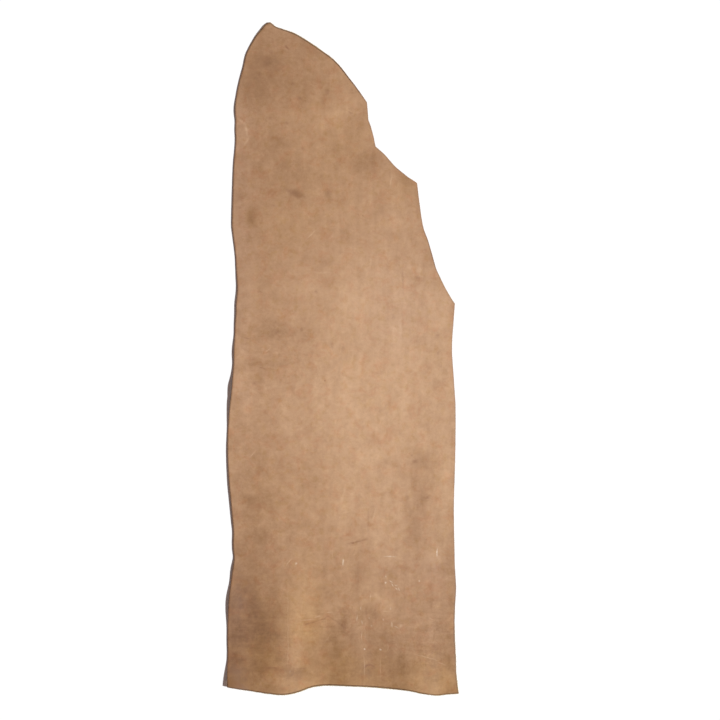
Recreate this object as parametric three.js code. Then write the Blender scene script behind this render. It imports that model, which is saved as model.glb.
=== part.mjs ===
// A leather shoulder: one trimmed piece of vegetable-tanned cattle hide, laid out grain side up.
//
// Millimetres, +Z up. The flesh side lies on the plane z = 0, apart from a few places along the edge where
// the dry leather has lifted. The origin is on that plane, under the middle of the piece. +Y runs the
// length of the hide, from the cut across its foot to its narrow tip.
//
// The piece is one sheet of even thickness. Its plan is a patch stretched between four sides, and its
// surface rises from the plane by a sum of soft waves.
import * as THREE from "three";

// Driving dimensions.
const LENGTH = 1368; // from the datum to the tip
const WIDTH = 470; // from the datum to the foot's right corner, where the hide is widest
const THICKNESS = 2.5; // the split the tannery finished it to
const FACET = 20; // the sheet is divided about this often, both ways

// The trimmed outline, from a datum at the foot of the left side: x across the hide, y along it. A side is
// one run of the knife or more. The right side's runs end at its corners, and the left side is divided into
// as many, where it faces those corners.
const FOOT = [
  [
    { x: 1.5, y: 19.8 },
    { x: 40, y: 12.3 },
    { x: 80, y: 6.8 },
    { x: 118, y: 4.1 },
    { x: 146, y: 9 },
    { x: 167, y: 16.8 },
    { x: 187, y: 21 },
    { x: 235, y: 21.8 },
    { x: 295, y: 18.6 },
    { x: 343, y: 14.4 },
    { x: 372, y: 11.8 },
    { x: 392, y: 7.4 },
    { x: 412, y: 3.7 },
    { x: 430, y: 2.2 },
    { x: 450, y: 4.8 },
    { x: WIDTH, y: 6.8 },
  ],
];
const LEFT = [
  [
    { x: 1.5, y: 19.8 },
    { x: 1.2, y: 60 },
    { x: 2, y: 90 },
    { x: 1.5, y: 120 },
    { x: 2.4, y: 160 },
    { x: 3.9, y: 195 },
    { x: 7.6, y: 228 },
    { x: 11.4, y: 256 },
    { x: 14.6, y: 281 },
    { x: 13, y: 296 },
    { x: 12.6, y: 315 },
    { x: 13.4, y: 332 },
    { x: 11.8, y: 352 },
    { x: 9.8, y: 376 },
    { x: 7.3, y: 404 },
    { x: 4.6, y: 432 },
    { x: 2.6, y: 463 },
    { x: 1.3, y: 502 },
    { x: 1.6, y: 532 },
    { x: 3.3, y: 560 },
    { x: 6, y: 590 },
    { x: 10.7, y: 630 },
    { x: 12.1, y: 656 },
    { x: 13.7, y: 676 },
    { x: 14.1, y: 700 },
    { x: 15.5, y: 728 },
    { x: 16.5, y: 753 },
    { x: 18.3, y: 778 },
    { x: 18.7, y: 795 },
  ],
  [
    { x: 18.7, y: 795 },
    { x: 21.4, y: 828 },
    { x: 20.1, y: 850 },
    { x: 18.8, y: 872 },
    { x: 18, y: 890 },
    { x: 15.8, y: 912 },
  ],
  [
    { x: 15.8, y: 912 },
    { x: 12.6, y: 936 },
    { x: 10.7, y: 953 },
    { x: 10.8, y: 972 },
    { x: 11.8, y: 1005 },
  ],
  [
    { x: 11.8, y: 1005 },
    { x: 13.1, y: 1058 },
    { x: 14.4, y: 1086 },
    { x: 16.9, y: 1112 },
    { x: 18, y: 1134 },
    { x: 17.1, y: 1149 },
    { x: 17.9, y: 1170 },
    { x: 16.9, y: 1186 },
    { x: 17.3, y: 1202 },
    { x: 21.6, y: 1231 },
    { x: 27.2, y: 1256 },
    { x: 33.8, y: 1280 },
    { x: 36, y: 1292 },
    { x: 39.4, y: 1305 },
    { x: 45, y: 1317 },
    { x: 52, y: 1329 },
    { x: 59.4, y: 1341 },
    { x: 69, y: 1353 },
    { x: 76, y: 1361.3 },
    { x: 81.3, y: 1366.5 },
    { x: 88, y: LENGTH },
  ],
];
const RIGHT = [
  [
    { x: WIDTH, y: 6.8 },
    { x: 467.6, y: 24 },
    { x: 465.4, y: 49 },
    { x: 464.7, y: 75 },
    { x: 462.7, y: 118 },
    { x: 462.2, y: 150 },
    { x: 463.2, y: 183 },
    { x: 465.2, y: 219 },
    { x: 464, y: 244 },
    { x: 462.5, y: 270 },
    { x: 461.9, y: 303 },
    { x: 461, y: 341 },
    { x: 460.7, y: 390 },
    { x: 462.4, y: 445 },
    { x: 464, y: 512 },
    { x: 464.1, y: 590 },
    { x: 462.2, y: 622 },
    { x: 458.9, y: 670 },
    { x: 457.2, y: 695 },
    { x: 457.3, y: 719 },
    { x: 459.7, y: 755 },
    { x: 461.5, y: 780 },
    { x: 462.6, y: 797 },
  ],
  [
    { x: 462.6, y: 797 },
    { x: 456.6, y: 806 },
    { x: 449.9, y: 817.3 },
    { x: 442.8, y: 830 },
    { x: 431.8, y: 853 },
    { x: 425, y: 867.5 },
    { x: 421.6, y: 879.5 },
    { x: 414.5, y: 905 },
    { x: 408, y: 926.5 },
    { x: 400, y: 948 },
    { x: 396, y: 966 },
    { x: 391, y: 1002 },
    { x: 385.9, y: 1042 },
  ],
  [
    { x: 385.9, y: 1042 },
    { x: 376, y: 1048.6 },
    { x: 367.5, y: 1054.2 },
    { x: 355, y: 1064.3 },
    { x: 342, y: 1075.4 },
    { x: 331.5, y: 1087 },
    { x: 321.8, y: 1098.4 },
    { x: 311, y: 1108.4 },
    { x: 301.6, y: 1116.6 },
  ],
  [
    { x: 301.6, y: 1116.6 },
    { x: 298.2, y: 1134 },
    { x: 294.9, y: 1147 },
    { x: 291.1, y: 1160 },
    { x: 287.2, y: 1171 },
    { x: 286.4, y: 1182 },
    { x: 284.8, y: 1200 },
    { x: 284.2, y: 1206.3 },
  ],
];
const TIP = [
  [
    { x: 88, y: LENGTH },
    { x: 92.5, y: 1364.6 },
    { x: 98, y: 1360 },
    { x: 113, y: 1354.5 },
    { x: 137, y: 1346.1 },
    { x: 165, y: 1329.7 },
    { x: 190.5, y: 1312.2 },
    { x: 209.5, y: 1298.7 },
    { x: 226, y: 1283.3 },
    { x: 246, y: 1258.4 },
    { x: 266, y: 1232.3 },
    { x: 284.2, y: 1206.3 },
  ],
];

// Where the dry leather stands off the table. Each wave is highest at x, y and dies out at half its width
// to either side and half its length along its crest, which is turned from +Y towards -X by turn degrees.
const WAVES = [
  { place: "foot, left corner", x: 2, y: 12, width: 100, length: 140, turn: 20, height: 9.3 },
  { place: "foot, left wave", x: 100, y: 0, width: 120, length: 440, turn: 0, height: 7 },
  { place: "foot, middle wave", x: 252, y: 12, width: 110, length: 380, turn: 3, height: 5 },
  { place: "foot, right wave", x: 385, y: 0, width: 120, length: 330, turn: -4, height: 7 },
  { place: "foot, right corner", x: 474, y: 0, width: 80, length: 190, turn: -35, height: 6 },
  { place: "left side, low", x: -2, y: 190, width: 90, length: 120, turn: 0, height: 4.5 },
  { place: "left side, kink above the foot", x: 12, y: 256, width: 60, length: 64, turn: 0, height: 2.4 },
  { place: "left side, below the middle", x: 2, y: 420, width: 90, length: 340, turn: 0, height: 2 },
  { place: "left side, middle", x: 2, y: 612, width: 120, length: 150, turn: 0, height: 5.6 },
  { place: "left side, crest of the middle", x: 8, y: 630, width: 60, length: 50, turn: 0, height: 2.6 },
  { place: "left side, kink above the middle", x: 14, y: 700, width: 60, length: 80, turn: 0, height: 2.2 },
  { place: "left side, high", x: 18, y: 800, width: 70, length: 150, turn: 4, height: 1.8 },
  { place: "left side, below the tip", x: 17, y: 1190, width: 60, length: 60, turn: 0, height: 1.3 },
  { place: "right side, low", x: 466, y: 330, width: 90, length: 260, turn: 0, height: 3 },
  { place: "right side, widest corner", x: 470, y: 806, width: 100, length: 150, turn: 30, height: 4 },
  { place: "right side, upper corner", x: 392, y: 1050, width: 80, length: 120, turn: 50, height: 3 },
  { place: "tip", x: 84, y: 1376, width: 120, length: 170, turn: -25, height: 2.5 },
];

// A side of the sheet, as one path of smooth runs.
function side(runs) {
  const path = new THREE.CurvePath();
  for (const run of runs) {
    const points = run.map(({ x, y }) => new THREE.Vector3(x, y, 0));
    path.add(new THREE.CatmullRomCurve3(points, false, "centripetal"));
  }
  return path;
}

// Places on two sides that face each other, in pairs about a facet apart, with a pair at every corner. A
// place is a share of its side's length.
function stations(...facing) {
  const totals = facing.map((path) => path.getLength());
  const pairs = [[0, 0]];
  let starts = [0, 0];
  for (let run = 0; run < facing[0].curves.length; run++) {
    const lengths = facing.map((path) => path.curves[run].getLength());
    const steps = Math.round((lengths[0] + lengths[1]) / 2 / FACET);
    for (let step = 1; step <= steps; step++) {
      pairs.push(totals.map((total, i) => (starts[i] + (lengths[i] * step) / steps) / total));
    }
    starts = starts.map((start, i) => start + lengths[i]);
  }
  return pairs;
}

// The point of the plan at one pair of stations across and one along: a Coons patch between the four sides.
function planPoint(sides, [onFoot, onTip], [onLeft, onRight]) {
  const foot = sides.foot.getPoint(onFoot);
  const tip = sides.tip.getPoint(onTip);
  const left = sides.left.getPoint(onLeft);
  const right = sides.right.getPoint(onRight);
  const u = (onFoot + onTip) / 2;
  const v = (onLeft + onRight) / 2;
  const between = (axis) => {
    const lengthways = (1 - v) * foot[axis] + v * tip[axis];
    const crossways = (1 - u) * left[axis] + u * right[axis];
    const corners =
      (1 - v) * ((1 - u) * sides.footLeft[axis] + u * sides.footRight[axis]) +
      v * ((1 - u) * sides.tipLeft[axis] + u * sides.tipRight[axis]);
    return lengthways + crossways - corners;
  };
  return new THREE.Vector2(between("x"), between("y"));
}

// How far the flesh side stands above the table at a point of the plan.
function rise(plan) {
  let total = 0;
  for (const wave of WAVES) {
    const local = plan.clone().sub(wave).rotateAround(new THREE.Vector2(), -THREE.MathUtils.degToRad(wave.turn));
    const far = Math.hypot(local.x / (wave.width / 2), local.y / (wave.length / 2));
    if (far < 1) total += wave.height * (1 - far ** 2) ** 2;
  }
  return total;
}

// The sheet: a box divided both ways, each of its points moved to its place on the hide.
function hideGeometry() {
  const sides = { foot: side(FOOT), left: side(LEFT), right: side(RIGHT), tip: side(TIP) };
  sides.footLeft = sides.foot.getPoint(0);
  sides.footRight = sides.foot.getPoint(1);
  sides.tipLeft = sides.tip.getPoint(0);
  sides.tipRight = sides.tip.getPoint(1);
  const across = stations(sides.foot, sides.tip);
  const along = stations(sides.left, sides.right);

  const columns = across.length - 1;
  const rows = along.length - 1;
  const geometry = new THREE.BoxGeometry(columns, rows, THICKNESS, columns, rows, 1);
  geometry.translate(columns / 2, rows / 2, THICKNESS / 2);
  const points = geometry.getAttribute("position");
  for (let i = 0; i < points.count; i++) {
    const column = Math.round(points.getX(i));
    const row = Math.round(points.getY(i));
    const plan = planPoint(sides, across[column], along[row]);
    points.setXYZ(i, plan.x, plan.y, points.getZ(i) + rise(plan));
  }

  geometry.computeBoundingBox();
  const middle = geometry.boundingBox.getCenter(new THREE.Vector3());
  geometry.translate(-middle.x, -middle.y, 0);
  geometry.computeVertexNormals();
  return geometry;
}

function hide() {
  const tannedGrain = new THREE.MeshStandardMaterial({ color: 0xb68f6e, roughness: 0.6, metalness: 0 });
  const mesh = new THREE.Mesh(hideGeometry(), tannedGrain);
  mesh.name = "hide";
  return mesh;
}

const shoulder = new THREE.Group();
shoulder.add(hide());
export default shoulder;
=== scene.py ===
import math
from collections import namedtuple

import bpy
import numpy as np
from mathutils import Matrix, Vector, noise
from mathutils.kdtree import KDTree


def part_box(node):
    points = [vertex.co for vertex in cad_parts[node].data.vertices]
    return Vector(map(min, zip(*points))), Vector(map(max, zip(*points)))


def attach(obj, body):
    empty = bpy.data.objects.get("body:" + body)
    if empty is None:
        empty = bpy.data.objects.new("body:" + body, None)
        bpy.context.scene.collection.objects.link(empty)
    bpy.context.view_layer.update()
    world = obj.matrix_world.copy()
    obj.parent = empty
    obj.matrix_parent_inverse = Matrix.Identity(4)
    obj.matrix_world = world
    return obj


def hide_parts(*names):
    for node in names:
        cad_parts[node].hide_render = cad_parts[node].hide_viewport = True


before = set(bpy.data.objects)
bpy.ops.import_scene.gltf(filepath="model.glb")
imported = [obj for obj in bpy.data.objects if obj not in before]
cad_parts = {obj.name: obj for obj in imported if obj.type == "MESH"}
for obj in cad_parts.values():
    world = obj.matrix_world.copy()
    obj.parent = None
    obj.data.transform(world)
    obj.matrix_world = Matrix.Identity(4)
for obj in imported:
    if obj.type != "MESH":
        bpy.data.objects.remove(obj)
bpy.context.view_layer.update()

# A leather shoulder: one trimmed piece of vegetable-tanned cattle hide, laid out grain side up on a pale
# floor. Sizes are in millimetres until a mesh or a node takes them. The tables measure from a datum at the
# foot of the left side, x across the hide and y along it, and the frame's box says where that datum lies.
MM = 0.001
THICKNESS = 2.5
CELL = 4.0  # the sheet is divided about this finely
RIM_STEPS = (0.5, 1.3, 2.6, 4.6)  # and finer than that beside its edges, at these distances in
RUN_STEPS = 40  # steps from one point of an outline to the next
RIM_SPLIT = 4  # steps from one point of the rim to the next, where the nearest place on it is looked for

HIDE_LOW, HIDE_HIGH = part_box("hide")

# The trimmed outline. A side is one run of the knife or more. The right side's runs end at its corners, and
# the left side is divided into as many, where it faces those corners.
FOOT = [
    [
        (1.5, 19.8), (40, 12.3), (80, 6.8), (118, 4.1), (146, 9), (167, 16.8), (187, 21), (235, 21.8),
        (295, 18.6), (343, 14.4), (372, 11.8), (392, 7.4), (412, 3.7), (430, 2.2), (450, 4.8), (470, 6.8),
    ],
]
LEFT = [
    [
        (1.5, 19.8), (1.2, 60), (2, 90), (1.5, 120), (2.4, 160), (3.9, 195), (7.6, 228), (11.4, 256),
        (14.6, 281), (13, 296), (12.6, 315), (13.4, 332), (11.8, 352), (9.8, 376), (7.3, 404), (4.6, 432),
        (2.6, 463), (1.3, 502), (1.6, 532), (3.3, 560), (6, 590), (10.7, 630), (12.1, 656), (13.7, 676),
        (14.1, 700), (15.5, 728), (16.5, 753), (18.3, 778), (18.7, 795),
    ],
    [
        (18.7, 795), (21.4, 828), (20.1, 850), (18.8, 872), (18, 890), (15.8, 912),
    ],
    [
        (15.8, 912), (12.6, 936), (10.7, 953), (10.8, 972), (11.8, 1005),
    ],
    [
        (11.8, 1005), (13.1, 1058), (14.4, 1086), (16.9, 1112), (18, 1134), (17.1, 1149), (17.9, 1170),
        (16.9, 1186), (17.3, 1202), (21.6, 1231), (27.2, 1256), (33.8, 1280), (36, 1292), (39.4, 1305),
        (45, 1317), (52, 1329), (59.4, 1341), (69, 1353), (76, 1361.3), (81.3, 1366.5), (88, 1368),
    ],
]
RIGHT = [
    [
        (470, 6.8), (467.6, 24), (465.4, 49), (464.7, 75), (462.7, 118), (462.2, 150), (463.2, 183),
        (465.2, 219), (464, 244), (462.5, 270), (461.9, 303), (461, 341), (460.7, 390), (462.4, 445),
        (464, 512), (464.1, 590), (462.2, 622), (458.9, 670), (457.2, 695), (457.3, 719), (459.7, 755),
        (461.5, 780), (462.6, 797),
    ],
    [
        (462.6, 797), (456.6, 806), (449.9, 817.3), (442.8, 830), (431.8, 853), (425, 867.5),
        (421.6, 879.5), (414.5, 905), (408, 926.5), (400, 948), (396, 966), (391, 1002), (385.9, 1042),
    ],
    [
        (385.9, 1042), (376, 1048.6), (367.5, 1054.2), (355, 1064.3), (342, 1075.4), (331.5, 1087),
        (321.8, 1098.4), (311, 1108.4), (301.6, 1116.6),
    ],
    [
        (301.6, 1116.6), (298.2, 1134), (294.9, 1147), (291.1, 1160), (287.2, 1171), (286.4, 1182),
        (284.8, 1200), (284.2, 1206.3),
    ],
]
TIP = [
    [
        (88, 1368), (92.5, 1364.6), (98, 1360), (113, 1354.5), (137, 1346.1), (165, 1329.7),
        (190.5, 1312.2), (209.5, 1298.7), (226, 1283.3), (246, 1258.4), (266, 1232.3), (284.2, 1206.3),
    ],
]

# A swell is strongest at x, y, by its amount, and dies out at half its width to either side and half its
# length along its crest. The crest lies along y, or is turned from there towards -x by turn degrees. Waves
# and creases are swells of height, in millimetres, and stains and painted light and shade are swells of
# tone.
Swell = namedtuple("Swell", "x y width length amount turn", defaults=[0])


def table(*rows):
    """Swells, from a row of numbers for each."""
    return [Swell(*row) for row in rows]


# Where the dry leather stands off the table.
WAVES = table(
    (2, 12, 100, 140, 9.3, 20),  # foot, left corner
    (100, 0, 120, 440, 7),  # foot, left wave
    (252, 12, 110, 380, 5, 3),  # foot, middle wave
    (385, 0, 120, 330, 7, -4),  # foot, right wave
    (474, 0, 80, 190, 6, -35),  # foot, right corner
    (-2, 190, 90, 120, 4.5),  # left side, low
    (12, 256, 60, 64, 2.4),  # left side, kink above the foot
    (2, 420, 90, 340, 2.0),  # left side, below the middle
    (2, 612, 120, 150, 5.6),  # left side, middle
    (8, 630, 60, 50, 2.6),  # left side, crest of the middle
    (14, 700, 60, 80, 2.2),  # left side, kink above the middle
    (18, 800, 70, 150, 1.8, 4),  # left side, high
    (17, 1190, 60, 60, 1.3),  # left side, below the tip
    (466, 330, 90, 260, 3),  # right side, low
    (470, 806, 100, 150, 4, 30),  # right side, widest corner
    (392, 1050, 80, 120, 3, 50),  # right side, upper corner
    (84, 1376, 120, 170, 2.5, -25),  # tip
)

# Soft ridges and troughs across the grain.
CREASES = table(
    (138, 150, 46, 330, 0.9),  # beside the left wave of the foot
    (209, 95, 50, 190, -0.5, -4),
    (266, 250, 16, 120, -0.35),
    (287, 353, 14, 50, -0.3),
    (196, 148, 12, 84, -0.35, -75),
    (262, 312, 12, 44, -0.4, -80),
    (345, 90, 44, 170, -0.18, 6),
    (305, 190, 50, 90, 0.4, 20),
    (60, 120, 60, 150, -0.4, 8),
    (398, 410, 40, 220, -0.35, -3),
    (352, 570, 40, 230, 0.35, 2),
    (123, 626, 14, 160, 0.25, -80),
    (362, 855, 18, 60, -0.25, 3),
    (136, 1022, 26, 40, -0.35, 55),
)

# The leather also cockles slightly all over. Each row is a height, a size across and a seed.
COCKLE_RISE = 0.3
COCKLE = [(0.7, 150, 3.1), (0.25, 45, 7.7)]
SINK = 0.5  # how far the grain side may sink, where the flesh side already lies on the floor
RIPPLE, RIPPLE_SIZE = 0.08, 14  # how far the grain side ripples by itself, and how wide a ripple is

# The cut edge, from the grain side down: how far out of the outline, what share of the thickness is left
# below it, and what share of the lean is left. A leaning cut drops steeply under the grain and ends in a
# fibrous lip. An upright one stays much closer.
CUT = [(0.2, 0.76, 0.95), (0.45, 0.5, 0.8), (0.85, 0.25, 0.15), (0.85, 0.06, 0)]
UPRIGHT = 0.35  # how far an upright cut reaches out, as a share of a leaning one
RAGGED_SIZE = 9  # the cut is uneven over about this distance
RAGGED_REACH, RAGGED_LEAN = 0.5, 0.4  # how uneven it is, as shares of its reach and of its lean
ROLL, ROLL_REACH = 0.32, 0.9  # how far the grain side rolls over at the cut, and about how far in
# Where the knife leaned, the grain side ends this much further in, and the cut is torn.
LEAN = table(
    (240, 0, 760, 160, 1.3),
    (470, 60, 200, 420, 0.6),
    (170, 1330, 380, 300, 0.9),
)

# Where the grain took more of the tan and darkened, below zero, or less of it, above, with painted light and
# shade among them. From the tip down.
STAINS_AND_PAINTED_LIGHT = table(
    # wide ones: palest right of the middle, a painted pool of light, and darkest at the foot of the left
    # side and towards the tip, partly the tan's darker belly and neck and partly painted shade
    (100, 1330, 400, 360, -0.12), (70, 1080, 260, 520, -0.08), (300, 1010, 150, 200, 0.045),
    (300, 850, 260, 260, 0.05), (320, 620, 620, 960, 0.25), (130, 590, 240, 150, 0.07),
    (230, 560, 150, 320, 0.04), (40, 380, 160, 300, -0.10), (340, 330, 300, 300, 0.05),
    (46, 140, 170, 280, -0.15), (40, 130, 290, 460, -0.17), (270, 60, 320, 260, -0.12),
    (440, 60, 160, 260, -0.08),
    # tip and upper part
    (96, 1332, 60, 60, -0.07), (128, 1330, 34, 34, 0.06), (45, 1292, 44, 120, 0.05),
    (88, 1290, 50, 30, -0.05), (81, 1288, 90, 50, -0.12), (192, 1270, 40, 40, -0.05),
    (55, 1265, 110, 160, -0.11), (175, 1250, 90, 70, -0.05), (284, 1250, 60, 90, -0.035),
    (63, 1227, 110, 80, -0.08), (202, 1226, 50, 60, -0.09), (150, 1225, 120, 60, -0.06),
    (45, 1204, 50, 50, -0.06), (20, 1200, 60, 110, -0.05), (235, 1185, 110, 100, 0.08),
    (57, 1178, 60, 120, -0.03), (207, 1166, 90, 54, 0.08), (262, 1165, 50, 70, -0.08, 20),
    (30, 1142, 46, 74, 0.07), (225, 1130, 50, 60, 0.04), (22, 1125, 32, 56, 0.07),
    (112, 1123, 130, 40, -0.08, 5), (114, 1091, 40, 30, 0.04), (287, 1085, 120, 75, -0.12, 20),
    (122, 1073, 90, 40, -0.05), (150, 1060, 140, 70, -0.04), (130, 1031, 44, 30, -0.06),
    (207, 1022, 26, 24, -0.12), (138, 1020, 30, 58, -0.16, 66), (124, 1003, 40, 30, 0.07),
    (28, 1003, 40, 40, -0.04), (88, 1000, 60, 34, -0.06), (52, 976, 40, 64, -0.13),
    (150, 975, 120, 60, 0.04), (309, 973, 40, 60, -0.08), (350, 970, 90, 60, 0.06),
    (240, 937, 56, 56, -0.09), (60, 932, 40, 50, -0.07), (325, 925, 60, 60, -0.05),
    (218, 912, 50, 60, -0.04), (408, 896, 50, 60, -0.10), (347, 896, 50, 70, -0.06),
    (199, 882, 60, 60, -0.08), (228, 875, 50, 46, 0.05), (384, 868, 40, 40, 0.05),
    (352, 860, 34, 44, -0.07), (25, 845, 60, 110, -0.08), (392, 842, 60, 50, -0.08),
    (209, 841, 60, 50, -0.08), (158, 829, 110, 90, 0.06), (440, 822, 60, 60, 0.05),
    (40, 811, 50, 56, -0.09), (260, 801, 120, 120, 0.08), (437, 790, 90, 170, 0.15),
    # middle part
    (425, 769, 50, 50, -0.09), (150, 760, 80, 36, -0.04), (42, 750, 50, 50, 0.05), (401, 748, 46, 60, 0.06),
    (95, 742, 110, 66, -0.14), (158, 734, 90, 56, -0.09), (345, 734, 70, 110, 0.06),
    (375, 725, 50, 60, -0.04), (150, 720, 120, 130, -0.04), (110, 711, 120, 30, -0.05),
    (404, 705, 30, 50, 0.05), (33, 705, 36, 36, -0.05), (165, 690, 90, 40, -0.05), (447, 690, 34, 90, 0.06),
    (60, 680, 50, 30, 0.05), (83, 679, 190, 50, -0.06), (60, 656, 50, 32, 0.06), (427, 638, 55, 50, -0.07),
    (66, 636, 70, 26, -0.12, 90), (320, 632, 50, 60, 0.06), (24, 627, 34, 44, -0.06),
    (275, 625, 50, 60, -0.05), (172, 600, 90, 130, -0.05), (37, 587, 36, 36, 0.12),
    (160, 550, 50, 46, -0.05), (425, 543, 50, 36, -0.07), (437, 530, 50, 100, 0.07),
    (266, 524, 40, 66, -0.05), (20, 524, 36, 50, -0.05), (360, 500, 40, 40, -0.05),
    (287, 484, 80, 60, 0.08), (396, 480, 100, 70, -0.14), (412, 476, 46, 70, -0.06),
    (327, 475, 36, 40, -0.06), (138, 469, 170, 60, -0.05), (452, 450, 28, 170, 0.12),
    (356, 448, 42, 70, -0.08), (28, 445, 44, 80, -0.08), (190, 440, 80, 100, -0.018),
    (10, 437, 20, 50, 0.07), (65, 430, 60, 60, 0.05), (173, 423, 90, 50, -0.03), (396, 415, 90, 90, -0.08),
    (61, 402, 90, 46, -0.08), (463, 390, 40, 320, 0.04), (236, 385, 60, 150, 0.07, -8),
    (14, 376, 40, 60, -0.04), (440, 370, 46, 240, 0.12), (385, 365, 56, 320, -0.15),
    (278, 344, 40, 60, -0.10), (323, 343, 36, 90, 0.06), (452, 335, 26, 120, 0.10),
    (67, 330, 50, 50, -0.07), (425, 320, 46, 60, 0.06),
    # foot: stains, with painted shade on the lifted left corner and the left flank of the left wave, and
    # painted light on its right flank
    (75, 300, 110, 90, -0.08), (427, 291, 36, 60, 0.12), (390, 278, 46, 46, -0.05),
    (25, 277, 70, 70, -0.05), (441, 262, 36, 90, 0.06), (45, 260, 90, 170, -0.02), (40, 256, 60, 50, -0.09),
    (68, 252, 60, 40, -0.09), (350, 252, 76, 46, -0.08), (208, 245, 46, 120, -0.06),
    (412, 242, 30, 70, -0.05), (12, 238, 16, 80, 0.10), (15, 235, 60, 60, -0.05),
    (263, 235, 34, 110, -0.09), (400, 222, 24, 60, 0.06), (0, 215, 110, 160, -0.20),
    (193, 211, 50, 46, -0.08), (28, 204, 44, 50, -0.08), (457, 200, 26, 60, -0.10),
    (301, 199, 60, 46, 0.12), (333, 199, 60, 40, 0.08), (438, 185, 70, 80, -0.035),
    (462, 185, 34, 70, -0.04), (61, 182, 44, 60, -0.10), (150, 180, 76, 330, 0.11),
    (232, 178, 40, 50, 0.07), (328, 172, 66, 56, 0.14), (309, 171, 26, 46, 0.06), (50, 169, 44, 60, -0.09),
    (286, 159, 52, 50, -0.08), (240, 154, 36, 80, -0.14), (104, 140, 36, 250, -0.07),
    (192, 140, 56, 70, 0.05), (77, 132, 90, 50, -0.10), (15, 125, 60, 80, -0.12), (45, 122, 40, 60, -0.06),
    (380, 120, 70, 50, 0.04), (338, 114, 40, 40, -0.07), (209, 113, 62, 76, -0.13),
    (445, 110, 60, 200, -0.06), (300, 110, 70, 80, -0.08), (110, 102, 30, 30, -0.05),
    (268, 100, 36, 110, -0.07), (335, 96, 22, 60, -0.07), (40, 84, 90, 30, 0.05), (260, 82, 24, 50, 0.06),
    (372, 80, 50, 60, 0.06), (360, 78, 30, 46, 0.09), (335, 75, 90, 130, -0.09), (5, 65, 30, 60, -0.10),
    (190, 62, 90, 28, -0.07), (415, 58, 60, 60, -0.04), (95, 56, 130, 24, -0.13), (275, 55, 70, 90, -0.06),
    (330, 52, 100, 50, -0.07), (145, 52, 50, 26, -0.07), (30, 47, 60, 50, -0.08), (133, 44, 90, 40, -0.16),
    (284, 43, 36, 40, -0.06), (0, 40, 100, 190, -0.22), (187, 38, 60, 22, 0.07), (163, 26, 60, 44, 0.12),
    (458, 24, 60, 70, 0.14), (110, 15, 130, 50, -0.09), (22, 10, 96, 90, -0.34), (350, 10, 160, 50, -0.06),
)

# Where the bark liquor left the grain yellower, above zero, or greyer, below.
LIQUOR = table(
    (200, 1230, 300, 300, 0.20), (260, 1120, 140, 160, 0.20), (200, 1080, 330, 420, 0.35),
    (375, 1030, 100, 100, 0.30), (340, 1030, 120, 100, 0.30), (20, 1000, 110, 900, -0.55),
    (51, 976, 44, 60, 0.90), (120, 950, 200, 160, 0.35), (350, 790, 260, 330, -0.35),
    (430, 450, 120, 200, 0.15), (170, 400, 300, 300, 0.20), (75, 390, 160, 240, 0.25),
    (360, 260, 260, 100, -0.15), (425, 255, 80, 120, -0.40), (12, 195, 50, 120, 0.40),
    (160, 190, 110, 330, 0.50), (10, 180, 90, 260, -0.60), (190, 170, 480, 420, 0.35),
    (180, 160, 90, 120, 0.25), (462, 150, 50, 110, 0.45), (180, 125, 160, 80, 0.40),
    (110, 120, 260, 240, 0.55), (250, 75, 200, 110, 0.50), (75, 75, 120, 110, 0.60), (5, 70, 60, 130, 0.50),
    (420, 50, 170, 170, 1.00), (12, 30, 60, 60, 0.60), (280, 28, 70, 50, 0.50), (20, 20, 90, 90, 1.70),
    (450, 20, 130, 140, 0.60), (20, 10, 90, 60, 0.60), (240, 0, 620, 240, 1.30),
)
# The outlines of the painted light and shade in the tone table wander in the same way.
DRIFT, DRIFT_SIZE = 12, 38  # how far the outlines of stains and liquor wander, and over what distance

# Where hands and the finisher's glass rubbed the grain across the hide, which left it streaked.
RUBBED = table(
    (110, 690, 340, 300, 0.5), (220, 150, 200, 90, 0.6), (60, 110, 300, 300, 0.6),
    (420, 110, 240, 280, 0.8),
)

# How dark the grain has worn beside the cut: this much all round, and more or less of it here and there.
# Along the left side, which faces away from the key light, part of it is painted shade.
WORN_ALL_ROUND = 0.33
WORN_AND_SHADED_EDGE = table(
    (150, 1340, 420, 330, 0.50), (240, 1255, 120, 160, 0.55, 40), (378, 1052, 70, 60, -0.15),
    # Of the next row, the two at the left side, x 0 and 5, are partly painted shade beside the edge that
    # faces away from the key light.
    (412, 900, 60, 150, 0.30, 20), (0, 650, 120, 1900, 0.20), (5, 310, 60, 340, 0.25),
    (468, 150, 80, 260, 0.30), (0, 45, 24, 90, -0.40), (208, 20, 90, 50, 0.25), (25, 15, 70, 40, 0.30),
    (240, 0, 760, 160, 0.62), (440, 0, 140, 60, -0.22),
)

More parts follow.
